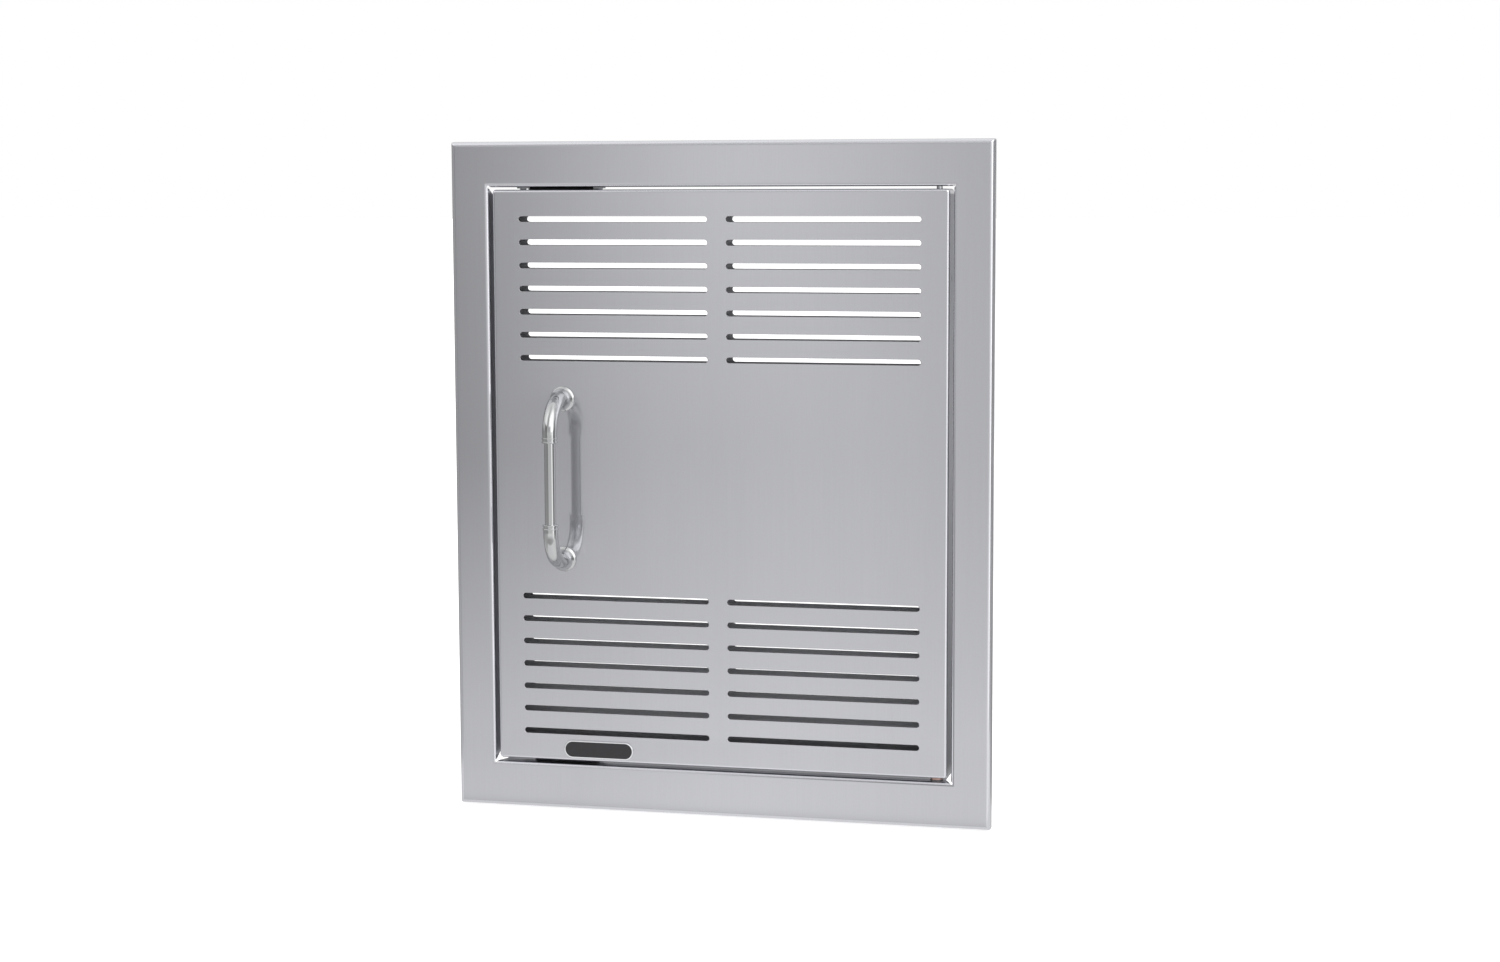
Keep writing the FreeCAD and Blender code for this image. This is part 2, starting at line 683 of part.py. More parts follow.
# ---------------------------------------------------------------- strikes
def make_strikes():
    y = S.door_d - S.liner_set - S.lip_d
    for label, z in (("lower_strike_plate", door_z + S.strike_edge),
                     ("upper_strike_plate", door_z + S.door_h - S.strike_edge - S.strike_h)):
        b = new_body(label)
        o = Outline(b, label + "_outline")
        w = S.strike_w / 2
        o.rect(-w, 0, w, S.strike_h)
        pad(b, label + "_plate", o, S.strike_t, back=True)
        fillet(b, label + "_corners", lambda e: along(e, "y"), 1.5, expect=4)
        o = Outline(b, label + "_hole_outline")
        for s in (-1, 1):
            o.circle(s * S.rivet_x, S.strike_h / 2, S.rivet_r + 0.05)
        pocket(b, label + "_holes", o, 20, both=True)
        place(b, S.catch_x, y, z)
        parts.append(b)
    # four domed rivets
    b = new_body("strike_rivets")
    o = Outline(b, "rivet_outline", "XY_Plane")
    h, r, st = S.rivet_head, S.rivet_r, S.strike_t
    back = -S.liner_t
    o.poly([(0, back - 1.0), (h - 0.9, back - 1.0), (h - 0.3, back - 0.55), (h - 0.3, back), (r, back), (r, st),
            (h, st), (h, st + 0.3), (h - 0.5, st + 0.7), (h - 1.3, st + 0.95), (0, st + 1.0)])
    f = revolve(b, "rivet_turned", o)
    g = feature(b, "MultiTransform", "rivets")
    g.Originals = [f]
    across = b.newObject("PartDesign::LinearPattern", "rivets_across")
    across.Direction = (o.sk, ["H_Axis"])
    bind(across, "Length", 2 * S.rivet_x)
    across.Occurrences = 2
    upward = b.newObject("PartDesign::LinearPattern", "rivets_up")
    upward.Direction = (plane_axis(b, "Z_Axis"), [""])
    bind(upward, "Length", S.door_h - 2 * S.strike_edge - S.strike_h)
    upward.Occurrences = 2
    g.Transformations = [across, upward]
    settle(b, g, True, f.Shape.Volume)
    place(b, S.catch_x - S.rivet_x, y, door_z + S.strike_edge + S.strike_h / 2)
    parts.append(b)


def plane_axis(body, role):
    return [o for o in body.Origin.OriginFeatures if o.Role == role][0]


# ---------------------------------------------------------------- catches
def make_catch(tag, upper):
    """z = 0 is the jamb, -z points away from it, and y = 0 is the pole plates' front edges.
    The strap is alike from front and rear, so one pattern turned over serves both catches."""
    turn = None if upper else V(0, 1, 0)
    left, right = (S.ear_long, S.ear_short) if upper else (S.ear_short, S.ear_long)

    def put(b):
        place(b, S.catch_x, S.catch_y, open_top if upper else S.open_z, turn, 0 if upper else 180)
        parts.append(b)

    bw, bh = S.block_w / 2, S.block_h
    mw = S.magnet_w / 2
    stack = S.magnet_t + 2 * S.pole_t
    z0 = -(bh + stack) / 2
    b = new_body(tag + "_catch_block")
    o = Outline(b, tag + "_block_outline", lift=-S.block_set)
    o.rect(-bw, -bh, bw, 0)
    pad(b, tag + "_block_case", o, S.block_d, back=True)
    fillet(b, tag + "_block_edges", lambda e: along(e, "y") or in_plane(e, "y", S.block_set.value), 0.8, expect=8)
    o = Outline(b, tag + "_cavity_outline", lift=-S.block_set)
    o.rect(-mw, z0, mw, z0 + stack)
    pocket(b, tag + "_block_cavity", o, S.pole_d - S.block_set)
    put(b)

    b = new_body(tag + "_catch_magnet")
    o = Outline(b, tag + "_magnet_outline", lift=-1.6)
    o.rect(-mw + 0.5, z0 + S.pole_t, mw - 0.5, z0 + S.pole_t + S.magnet_t)
    pad(b, tag + "_magnet_bar", o, S.pole_d - 1.6, back=True)
    put(b)

    b = new_body(tag + "_catch_poles")
    o = Outline(b, tag + "_pole_outline")
    o.rect(-mw, z0, mw, z0 + S.pole_t)
    f = pad(b, tag + "_pole_plate", o, S.pole_d, back=True)
    repeat(b, tag + "_pole_pair", f, (o.sk, ["V_Axis"]), S.magnet_t + S.pole_t, 2, True)
    put(b)

    b = new_body(tag + "_catch_saddle")
    t = S.saddle_t
    o = Outline(b, tag + "_saddle_outline", lift=-S.saddle_y)
    o.poly([(-bw - t - left, 0), (-bw - t - left, -t), (-bw - t, -t), (-bw - t, -bh - t), (bw + t, -bh - t),
            (bw + t, -t), (bw + t + right, -t), (bw + t + right, 0), (bw, 0), (bw, -bh), (-bw, -bh), (-bw, 0)])
    pad(b, tag + "_saddle_strip", o, S.saddle_d, back=True)
    far = bw.value + t.value
    fillet(b, tag + "_saddle_bends", lambda e: along(e, "y") and near(abs(e.BoundBox.XMin), far) and
           near(e.BoundBox.ZMin, -bh.value - t.value), 1.2, expect=2)
    fillet(b, tag + "_ear_corners", lambda e: along(e, "z") and near(e.BoundBox.ZLength, t.value), 1.5, expect=4)
    o = Outline(b, tag + "_ear_outline", "XY_Plane")
    for s, ear in ((-1, left), (1, right)):
        o.circle(s * (bw + t + ear - S.ear_hole), S.saddle_y + S.saddle_d / 2, S.catch_screw_r + 0.1)
    pocket(b, tag + "_ear_holes", o, 20, both=True)
    put(b)

    b = new_body(tag + "_catch_screws")
    o = Outline(b, tag + "_screw_outline")
    r, h = S.catch_screw_r, 2.9
    o.poly([(0, -t - 2.2), (h - 1.0, -t - 2.2), (h - 0.2, -t - 1.5), (h, -t - 0.8), (h, -t), (r, -t), (r, 4.6),
            (r - 1.0, 6.0), (0, 6.0)])
    f = revolve(b, tag + "_screw_turned", o)
    apart = 2 * (bw + t - S.ear_hole) + left + right
    repeat(b, tag + "_screw_pair", f, (o.sk, ["H_Axis"]), apart, 2, True)
    # cross recess in each head
    o = Outline(b, tag + "_recess_outline", "XY_Plane", lift=-t - 2.2)
    for k in (0, 1):
        x = k * apart
        o.poly([(x - 0.35, -1.5), (x + 0.35, -1.5), (x + 0.35, -0.35), (x + 1.5, -0.35), (x + 1.5, 0.35),
                (x + 0.35, 0.35), (x + 0.35, 1.5), (x - 0.35, 1.5), (x - 0.35, 0.35), (x - 1.5, 0.35),
                (x - 1.5, -0.35), (x - 0.35, -0.35)])
    pocket(b, tag + "_recesses", o, 1.1, back=True)
    off = bw + t + left - S.ear_hole
    place(b, S.catch_x - off if upper else S.catch_x + off, S.catch_y + S.saddle_y + S.saddle_d / 2,
          open_top if upper else S.open_z, turn, 0 if upper else 180)
    parts.append(b)


# ---------------------------------------------------------------- handle
def make_elbow(label, upper):
    """Elbow frame: the foot's centre on the leaf's face; the leg runs out along -y, then along -z."""
    b = new_body(label)
    a, c = S.flare_out, S.flare_y1 - S.flare_y0
    rr = (a * a + c * c) / (2 * a)                      # radius of the concave flare
    r = S.elbow_r
    o = Outline(b, label + "_foot_outline", "XY_Plane")
    sk = o.sk
    y0, y1, f0 = S.flare_y0, S.flare_y1, S.foot_r

    def seg(p, q):
        return sk.addGeometry(Part.LineSegment(V(p[0].value, p[1].value, 0), V(q[0].value, q[1].value, 0)), False)

    P = [(Size.of(0), Size.of(0)), (f0, Size.of(0)), (f0, -S.foot_edge), (r + a, -y0), (r, -y1), (Size.of(0), -y1)]
    g = [seg(P[0], P[1]), seg(P[1], P[2]), seg(P[2], P[3])]
    centre = V((r + rr).value, -y1.value, 0)
    circ = Part.Circle(centre, V(0, 0, 1), rr.value)
    a1 = math.atan2(-y0.value + y1.value, (r + a - r - rr).value)
    g.append(sk.addGeometry(Part.ArcOfCircle(circ, a1, math.pi), False))
    g.append(seg(P[4], P[5]))
    g.append(seg(P[5], P[0]))
    joins = [(g[0], 2, g[1], 1), (g[1], 2, g[2], 1), (g[2], 2, g[3], 1), (g[3], 2, g[4], 1), (g[4], 2, g[5], 1),
             (g[5], 2, g[0], 1)]
    for q in joins:
        sk.addConstraint(Sketcher.Constraint("Coincident", *q))
    for geo, pos, pt in ((g[0], 1, P[0]), (g[1], 1, P[1]), (g[2], 1, P[2]), (g[3], 1, P[3]), (g[4], 1, P[4]),
                         (g[5], 1, P[5])):
        o.pin_point(geo, pos, *pt)
    o.radius(g[3], rr)
    revolve(b, label + "_foot", o)
    fillet(b, label + "_foot_rim", lambda e: in_plane(e, "y", -S.foot_edge.value), 0.6)

    # leg: spine in the plane x = 0
    s, R, end = S.stand_off, S.elbow_bend, S.collar_at - S.collar_len / 2
    sp = Outline(b, label + "_spine", "YZ_Plane")
    sk = sp.sk
    A, B = (-y1, Size.of(0)), (-(s - R) - 0.001, Size.of(0))
    centre = V(-(s - R).value, -R.value, 0)
    arc = sk.addGeometry(Part.ArcOfCircle(Part.Circle(centre, V(0, 0, 1), R.value), math.pi / 2, math.pi), False)
    line = sk.addGeometry(Part.LineSegment(V(-s.value, -R.value, 0), V(-s.value, -end.value, 0)), False)
    sk.addConstraint(Sketcher.Constraint("Tangent", arc, 2, line, 1))
    sp.radius(arc, R)
    sp.pin_point(arc, 1, -(s - R), 0)
    sk.addConstraint(Sketcher.Constraint("Vertical", line))
    sp.pin_point(line, 2, -s, -end)
    prof = Outline(b, label + "_root_outline", "XZ_Plane", lift=s - R)
    prof.circle(0, 0, r)
    tip = Outline(b, label + "_end_outline", "XY_Plane", lift=-end)
    tip.circle(0, -s, S.elbow_end_r)
    before = volume(b)
    f = feature(b, "AdditivePipe", label + "_leg", prof)
    f.Spine = (sp.sk, [])
    f.Transformation = "Multisection"
    f.Sections = [(tip.sk, [""])]
    settle(b, f, True, before)
    # socket for the grip's spigot, and the threaded hole for the screw
    o = Outline(b, label + "_socket_outline", "XY_Plane", lift=-end)
    o.circle(0, -s, S.spigot_r + 0.05)
    pocket(b, label + "_socket", o, S.spigot_len + 0.5, back=True)
    o = Outline(b, label + "_screw_outline", "XZ_Plane")
    o.circle(0, 0, S.handle_screw_r + 0.05)
    pocket(b, label + "_screw_hole", o, S.handle_bite + 1, back=True)
    z = door_z + S.handle_z + (S.handle_span / 2 if upper else -S.handle_span / 2)
    place(b, S.handle_x, -S.lip_d, z, None if upper else V(0, 1, 0), 0 if upper else 180)
    parts.append(b)
    return b


def make_handle():
    make_elbow("handle_elbow_upper", True)
    make_elbow("handle_elbow_lower", False)
    mid = door_z + S.handle_z
    y = -S.lip_d - S.stand_off
    half = S.handle_span / 2 - S.collar_at              # collar centre from the handle's middle
    L, cr, gr = S.collar_len / 2, S.collar_r, S.groove_r
    for label, sign in (("handle_collar_upper", 1), ("handle_collar_lower", -1)):
        b = new_body(label)
        o = Outline(b, label + "_outline")
        bore = S.spigot_r + 0.05
        o.poly([(bore, -L), (cr - 0.3, -L), (cr, -L + 0.3), (cr, -L + 1.1), (cr - 0.25, -L + 1.4), (gr, -L + 1.5),
                (gr, L - 1.5), (cr - 0.25, L - 1.4), (cr, L - 1.1), (cr, L - 0.3), (cr - 0.3, L), (bore, L)])
        revolve(b, label + "_turned", o)
        place(b, S.handle_x, y, mid + sign * half)
        parts.append(b)
    g, sr = S.grip_r, S.spigot_r
    e = half - L                                        # end of the full-size grip
    ends = e + S.collar_len + S.spigot_len
    b = new_body("handle_bar")
    o = Outline(b, "bar_outline")
    o.poly([(0, -ends), (sr - 0.5, -ends), (sr, -ends + 0.5), (sr, -e), (g, -e), (g, e), (sr, e), (sr, ends - 0.5),
            (sr - 0.5, ends), (0, ends)])
    revolve(b, "bar_turned", o)
    place(b, S.handle_x, y, mid)
    parts.append(b)
    # two screws and washers behind the skin
    t = S.door_t
    b = new_body("handle_washers")
    o = Outline(b, "washer_outline", "XY_Plane")
    o.rect(S.handle_screw_r + 0.15, 0, 5.0, 1.0)
    f = revolve(b, "washer_turned", o)
    repeat(b, "washer_pair", f, (plane_axis(b, "Z_Axis"), [""]), S.handle_span, 2, True)
    place(b, S.handle_x, t - S.lip_d, mid - S.handle_span / 2)
    parts.append(b)
    b = new_body("handle_screws")
    o = Outline(b, "handle_screw_outline", "XY_Plane")
    r, out = S.handle_screw_r, -(t + 1.0 + S.handle_bite)
    o.poly([(0, out), (r - 0.8, out), (r, out + 0.8), (r, 0), (4.2, 0), (4.2, 1.2), (3.6, 2.4), (2.4, 3.0), (0, 3.0)])
    f = revolve(b, "handle_screw_turned", o)
    f = repeat(b, "handle_screw_pair", f, (plane_axis(b, "Z_Axis"), [""]), S.handle_span, 2, True)
    o = Outline(b, "handle_recess_outline", "XZ_Plane", lift=-3.0)
    for k in (0, 1):
        z = k * S.handle_span
        o.poly([(-0.45, z - 2.0), (0.45, z - 2.0), (0.45, z - 0.45), (2.0, z - 0.45), (2.0, z + 0.45),
                (0.45, z + 0.45), (0.45, z + 2.0), (-0.45, z + 2.0), (-0.45, z + 0.45), (-2.0, z + 0.45),
                (-2.0, z - 0.45), (-0.45, z - 0.45)])
    pocket(b, "handle_recesses", o, 1.6, back=True)
    place(b, S.handle_x, t + 1.0 - S.lip_d, mid - S.handle_span / 2)
    parts.append(b)


# ---------------------------------------------------------------- badge
def make_badge():
    z = door_z + S.badge_z
    b = new_body("badge_plate")
    o = Outline(b, "plate_outline")
    o.obround(0, 0, S.badge_half, S.badge_r)
    pad(b, "plate_blank", o, S.badge_t)
    fillet(b, "plate_edge", lambda e: in_plane(e, "y", -S.badge_t.value), 0.4)
    o = Outline(b, "recess_outline", lift=S.badge_t)
    o.obround(0, 0, S.badge_half, S.badge_r - S.badge_rim)
    pocket(b, "plate_recess", o, S.badge_recess)
    o = Outline(b, "stud_outline")
    for s in (-1, 1):
        o.circle(s * S.badge_stud_x, 0, S.badge_stud_r)
    pad(b, "plate_studs", o, 4.0, back=True)
    place(b, S.badge_x, -S.lip_d, z)
    parts.append(b)
    b = new_body("badge_field")
    o = Outline(b, "field_outline", lift=S.badge_t - S.badge_recess)
    o.obround(0, 0, S.badge_half, S.badge_r - S.badge_rim - 0.02)
    pad(b, "field_inlay", o, S.badge_recess - 0.2)
    place(b, S.badge_x, -S.lip_d, z)
    parts.append(b)
    b = new_body("badge_clips")
    o = Outline(b, "badge_clip_outline", "XY_Plane")
    r = S.badge_stud_r + 0.05
    o.poly([(r, 0.8), (r, 0.4), (3.4, 0), (4.2, 0), (4.2, 0.5), (3.6, 0.5)])
    f = revolve(b, "badge_clip_turned", o)
    repeat(b, "badge_clip_pair", f, (o.sk, ["H_Axis"]), 2 * S.badge_stud_x, 2, True)
    place(b, S.badge_x - S.badge_stud_x, S.door_t - S.lip_d, z)
    parts.append(b)


make_frame()
make_pivots()
make_channels()
make_spring_and_knob()
make_leaf()
make_strikes()
make_catch("upper", True)
make_catch("lower", False)
make_handle()
make_badge()
doc.recompute()

bad = []
for obj in doc.Objects:
    if "Invalid" in obj.State or "Error" in obj.State:
        bad.append("%s: %s" % (obj.Label, obj.State))
    if obj.TypeId == "Sketcher::SketchObject" and not obj.FullyConstrained:
        bad.append("%s: not fully constrained" % obj.Label)
for part in parts:
    if part.Shape.isNull() or not part.Shape.isValid() or not part.Shape.Solids:
        bad.append("%s: no valid solid" % part.Label)
if bad:
    sys.exit("\n".join(bad))

os.makedirs("parts", exist_ok=True)
for part in parts:
    part.Shape.exportStep(os.path.join("parts", part.Label + ".step"))
    box = part.Shape.BoundBox
    print("%-22s solids %d  volume %10.1f  x %.1f..%.1f  y %.1f..%.1f  z %.1f..%.1f" % (
        part.Label, len(part.Shape.Solids), part.Shape.Volume,
        box.XMin, box.XMax, box.YMin, box.YMax, box.ZMin, box.ZMax))
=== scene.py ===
import math

import bmesh
import bpy
from mathutils import Matrix, Vector


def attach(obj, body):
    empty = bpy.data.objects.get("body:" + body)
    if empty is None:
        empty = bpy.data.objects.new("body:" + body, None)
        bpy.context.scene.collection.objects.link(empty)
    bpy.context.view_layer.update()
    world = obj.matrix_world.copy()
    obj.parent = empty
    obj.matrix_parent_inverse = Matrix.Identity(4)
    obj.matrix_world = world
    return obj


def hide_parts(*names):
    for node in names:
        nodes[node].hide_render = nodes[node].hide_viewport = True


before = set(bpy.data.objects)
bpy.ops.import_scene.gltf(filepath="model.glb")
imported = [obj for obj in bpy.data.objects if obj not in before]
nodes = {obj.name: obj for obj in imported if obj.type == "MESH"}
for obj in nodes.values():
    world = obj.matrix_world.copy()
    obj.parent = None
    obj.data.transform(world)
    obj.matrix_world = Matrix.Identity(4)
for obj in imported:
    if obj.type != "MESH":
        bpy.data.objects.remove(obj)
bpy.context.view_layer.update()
MM = 0.001


# ---------------------------------------------------------------- mesh helpers
def outline(a, b, r, n):
    """Rounded rectangle about the origin, counter-clockwise seen from the front: 4(n+1) points (x, z) in mm."""
    r = max(r, 0.004)
    pts = []
    for k, (cx, cz) in enumerate(((a - r, b - r), (r - a, b - r), (r - a, r - b), (a - r, r - b))):
        for i in range(n + 1):
            t = math.radians(90 * k + 90 * i / n)
            pts.append((cx + r * math.cos(t), cz + r * math.sin(t)))
    return pts


def obround(half, r, n, upright=False):
    """Slot outline about the origin: two half circles of radius r, their centres half either side."""
    pts = []
    for i in range(n + 1):
        t = math.radians(-90 + 180 * i / n)
        pts.append((half + r * math.cos(t), r * math.sin(t)))
    for i in range(n + 1):
        t = math.radians(90 + 180 * i / n)
        pts.append((-half + r * math.cos(t), r * math.sin(t)))
    return [(-z, x) for x, z in pts] if upright else pts


def circle(r, n):
    return [(r * math.cos(2 * math.pi * i / n), r * math.sin(2 * math.pi * i / n)) for i in range(n)]


def loft(bm, rings, closed):
    """Joins rings of equal count. closed runs the last ring back into the first; otherwise both ends get a cap."""
    rows = [[bm.verts.new(Vector(p) * MM) for p in ring] for ring in rings]
    pairs = list(zip(rows, rows[1:])) + ([(rows[-1], rows[0])] if closed else [])
    for a, b in pairs:
        for i in range(len(a)):
            j = (i + 1) % len(a)
            bm.faces.new((a[i], a[j], b[j], b[i]))
    if not closed:
        bm.faces.new(rows[0][::-1])
        bm.faces.new(rows[-1])
    return rows


def along_y(pts, cx, cz, y):
    return [(cx + x, y, cz + z) for x, z in pts]


def along_z(pts, cx, cy, z):
    return [(cx + x, cy + y, z) for x, y in pts]


def along_x(pts, x, cy, cz):
    return [(x, cy + u, cz + v) for u, v in pts]


def tidy(bm, merge=0.0):
    if merge:
        bmesh.ops.remove_doubles(bm, verts=bm.verts, dist=merge)
    bmesh.ops.recalc_face_normals(bm, faces=bm.faces)


def to_object(name, bm):
    me = bpy.data.meshes.new(name)
    bm.to_mesh(me)
    bm.free()
    ob = bpy.data.objects.new(name, me)
    bpy.context.scene.collection.objects.link(ob)
    return ob


def carve(ob, cutters):
    """Takes each cutter away from ob in turn, then removes the cutters."""
    for i, c in enumerate(cutters):
        m = ob.modifiers.new("cut_%d" % i, "BOOLEAN")
        m.operation, m.solver, m.object = "DIFFERENCE", "EXACT", c
    bpy.context.view_layer.update()
    done = bpy.data.meshes.new_from_object(ob.evaluated_get(bpy.context.evaluated_depsgraph_get()))
    ob.modifiers.clear()
    old, ob.data = ob.data, done
    bpy.data.meshes.remove(old)
    done.name = ob.name
    for c in cutters:
        me = c.data
        bpy.data.objects.remove(c)
        bpy.data.meshes.remove(me)


def finish_sheet(ob, angle=28.0):
    """Cleans a carved sheet, makes its flats flat and its bends smooth, and lays its grain as a UV map in metres."""
    bm = bmesh.new()
    bm.from_mesh(ob.data)
    bmesh.ops.remove_doubles(bm, verts=bm.verts, dist=4e-6)
    bmesh.ops.dissolve_degenerate(bm, edges=bm.edges, dist=2e-6)
    bmesh.ops.recalc_face_normals(bm, faces=bm.faces)
    uv = bm.loops.layers.uv.new("grain")
    for f in bm.faces:
        flat_top = abs(f.normal.z) > max(abs(f.normal.x), abs(f.normal.y))
        for l in f.loops:
            x, y, z = l.vert.co
            l[uv].uv = (x, y + (0.7 if z > 0.3 else 0.1)) if flat_top else (x + (y + 0.010) * (1 if x > 0 else -1), z)
    for f in bm.faces:
        f.smooth = True
    bm.to_mesh(ob.data)
    bm.free()
    ob.data.set_sharp_from_angle(angle=math.radians(angle))
    m = ob.modifiers.new("flats", "WEIGHTED_NORMAL")
    m.keep_sharp, m.weight, m.mode = True, 60, "FACE_AREA"
    bpy.context.view_layer.update()
    done = bpy.data.meshes.new_from_object(ob.evaluated_get(bpy.context.evaluated_depsgraph_get()))
    ob.modifiers.clear()
    old, ob.data = ob.data, done
    bpy.data.meshes.remove(old)
    done.name = ob.name


def quarter(n):
    return [math.radians(90 * i / n) for i in range(n + 1)]


# ---------------------------------------------------------------- folded sheets
PIVOT = (190.3, -2.0)


def slot_cutter(bm, y_face, y_in, step, ease):
    """The 28 vent slots. step is +1 if the cut goes from the face towards +Y; ease is the radius of the broken edge."""
    for cx in (-92.2, 92.2):
        for z0 in (69.0, 398.0):
            for k in range(7):
                rings = [along_y(obround(81.5, 2.5 + ease, 16), cx, z0 + 20 * k, y_face - 2 * step)]
                for t in quarter(3):
                    rings.append(along_y(obround(81.5, 2.5 + ease * (1 - math.sin(t)), 16), cx, z0 + 20 * k,
                                         y_face + step * ease * (1 - math.cos(t))))
                rings.append(along_y(obround(81.5, 2.5, 16), cx, z0 + 20 * k, y_in))
                loft(bm, rings, False)


def make_face_frame():
    n, cz = 10, 292.7
    outer = lambda i, y, r=None: along_y(outline(237.6 - i, 292.25 - i, 1.5 * (1 - i / 4.5) if r is None else r, n), 0, 292.25, y)
    inner = lambda e, y: along_y(outline(203.4 + e, 252.7 + e, 0, n), 0, cz, y)
    rings = [outer(0.12, 0), outer(0, -0.15)]
    rings += [outer(4.5 * (1 - math.cos(t)), -10 + 4.5 * (1 - math.sin(t))) for t in quarter(14)]
    rings += [inner(3.5 * (1 - math.sin(t)), -10 + 3.5 * (1 - math.cos(t))) for t in quarter(12)]
    rings += [inner(0, 39.88), inner(0.12, 40), inner(1.38, 40), inner(1.5, 39.88)]
    rings += [inner(2.5 - math.cos(t), -7.5 - math.sin(t)) for t in quarter(5)]
    rings += [outer(4.5 - 3.0 * math.sin(t), -5.5 - 3.0 * math.cos(t), 0) for t in quarter(9)]
    rings += [outer(1.5, -0.15, 0), outer(1.38, 0, 0)]
    bm = bmesh.new()
    loft(bm, rings, True)
    tidy(bm, 2e-5)
    ob = to_object("face_frame_sheet", bm)

    cuts = []
    bm = bmesh.new()                                   # corner slits, and every round hole
    d = 1.7 / 2 * 0.70710678
    for sx in (-1, 1):
        for sz in (-1, 1):
            cx, cc = sx * 203.4, cz + sz * 252.7
            quad = [(cx - sx * 3 - sx * d, cc - sz * 3 + sz * d), (cx - sx * 3 + sx * d, cc - sz * 3 - sz * d),
                    (cx + sx * 0.5 + sx * d, cc + sz * 0.5 - sz * d), (cx + sx * 0.5 - sx * d, cc + sz * 0.5 + sz * d)]
            loft(bm, [[(x, y, z) for x, z in quad] for y in (-15, 45)], False)
    for s in (-1, 1):
        for z in (cz - 175, cz + 175):
            loft(bm, [along_x(circle(2.25, 48), s * x, 25, z) for x in (200, 210)], False)
    for z0, z1 in ((35.4, 43.4), (541.4, 550.4)):
        loft(bm, [along_z(circle(4.0, 64), *PIVOT, z) for z in (z0, z1)], False)
        for x in (-182.4, -112.8):
            loft(bm, [along_z(circle(1.55, 40), x, 23.0, z) for z in (z0, z1)], False)
    tidy(bm)
    cuts.append(to_object("cut_a", bm))
    bm = bmesh.new()                                   # round bend reliefs
    for sx in (-1, 1):
        for sz in (-1, 1):
            loft(bm, [along_y(circle(1.1, 48), sx * 203.9, cz + sz * 253.2, y) for y in (-16, 46)], False)
    tidy(bm)
    cuts.append(to_object("cut_b", bm))
    bm = bmesh.new()                                   # side jambs, trimmed at their ends
    for z, s in ((40.0, 1), (545.4, -1)):
        poly = [(-8.5, z - s * 1e-3), (-8.5, z + s * 0.9), (3, z + s * 6.4), (42, z + s * 6.4), (42, z - s * 1e-3)]
        loft(bm, [[(x, y, w) for y, w in poly] for x in (-205.4, 205.4)], False)
    tidy(bm)
    cuts.append(to_object("cut_c", bm))
    bm = bmesh.new()                                   # top and bottom jambs, the same
    for s in (-1, 1):
        x = s * 203.4
        poly = [(x + s * 1e-3, -8.5), (x - s * 0.9, -8.5), (x - s * 6.4, 3), (x - s * 6.4, 42), (x + s * 1e-3, 42)]
        loft(bm, [[(u, v, z) for u, v in poly] for z in (38.0, 547.4)], False)
    tidy(bm)
    cuts.append(to_object("cut_d", bm))
    bm = bmesh.new()                                   # nothing stands in the corners between them
    for sx in (-1, 1):
        for sz in (-1, 1):
            x, z = sx * 203.4, cz + sz * 252.7
            p = [(x - sx * 0.02, z - sz * 0.02), (x + sx * 2.8, z - sz * 0.02), (x + sx * 2.8, z + sz * 2.8), (x - sx * 0.02, z + sz * 2.8)]
            loft(bm, [[(u, y, v) for u, v in p] for y in (-8.5, 44)], False)
    tidy(bm)
    cuts.append(to_object("cut_e", bm))
    carve(ob, cuts)
    finish_sheet(ob)
    return ob


def make_door_skin():
    n, cz = 10, 293.2
    ring = lambda i, y, r0: along_y(outline(200 - i, 250 - i, r0 - i, n), 0, cz, y)
    rings = [ring(2.75 * (1 - math.cos(t)), -10 + 2.75 * (1 - math.sin(t)), 2.8) for t in reversed(quarter(12))]
    rings += [ring(0, 14.9, 2.8), ring(0.1, 15, 2.8), ring(1.1, 15, 2.8), ring(1.2, 14.9, 2.8)]
    rings += [ring(2.8 - 1.6 * math.cos(t), -7.2 - 1.6 * math.sin(t), 2.85) for t in quarter(6)]
    bm = bmesh.new()
    loft(bm, rings, False)
    tidy(bm)
    ob = to_object("door_skin_pan", bm)
    bm = bmesh.new()
    slot_cutter(bm, -10, -5, 1, 0.22)
    for z in (362.8, 222.8):
        loft(bm, [along_y(circle(2.6, 40), -137.9, z, y) for y in (-13, -5)], False)
    for s in (-1, 1):
        loft(bm, [along_y(circle(1.35, 32), -108.1 + s * BADGE_STUD, 54.0, y) for y in (-13, -5)], False)
    for z0, z1 in ((39, 47), (539, 547)):
        loft(bm, [along_z(circle(2.7, 48), *PIVOT, z) for z in (z0, z1)], False)
    tidy(bm)
    carve(ob, [to_object("cut_s", bm)])
    finish_sheet(ob)
    return ob


def make_door_liner():
    n, cz = 8, 293.2
    ring = lambda i, y, r0: along_y(outline(198.8 - i, 248.8 - i, r0 - i, n), 0, cz, y)
    rings = [ring(1.45 * (1 - math.cos(t)), 14.8 - 1.45 * (1 - math.sin(t)), 1.5) for t in reversed(quarter(7))]
    rings += [ring(0, 4.9, 1.5), ring(0.1, 4.8, 1.5), ring(0.9, 4.8, 1.5), ring(1.0, 4.9, 1.5)]
    rings += [ring(1.5 - 0.5 * math.cos(t), 13.3 + 0.5 * math.sin(t), 1.55) for t in quarter(4)]
    bm = bmesh.new()
    loft(bm, rings, False)
    tidy(bm)
    ob = to_object("door_liner_pan", bm)
    bm = bmesh.new()
    slot_cutter(bm, 14.8, 10, -1, 0.18)
    loft(bm, [along_y(obround(4.75, 2.7, 12, True), 190.3, 476.45, y) for y in (10, 18)], False)
    for x in (-179.0, -113.0):
        for z in (51.9, 534.5):
            loft(bm, [along_y(circle(1.55, 32), x, z, y) for y in (10, 18)], False)
    tidy(bm)
    carve(ob, [to_object("cut_l", bm)])
    finish_sheet(ob)
    return ob


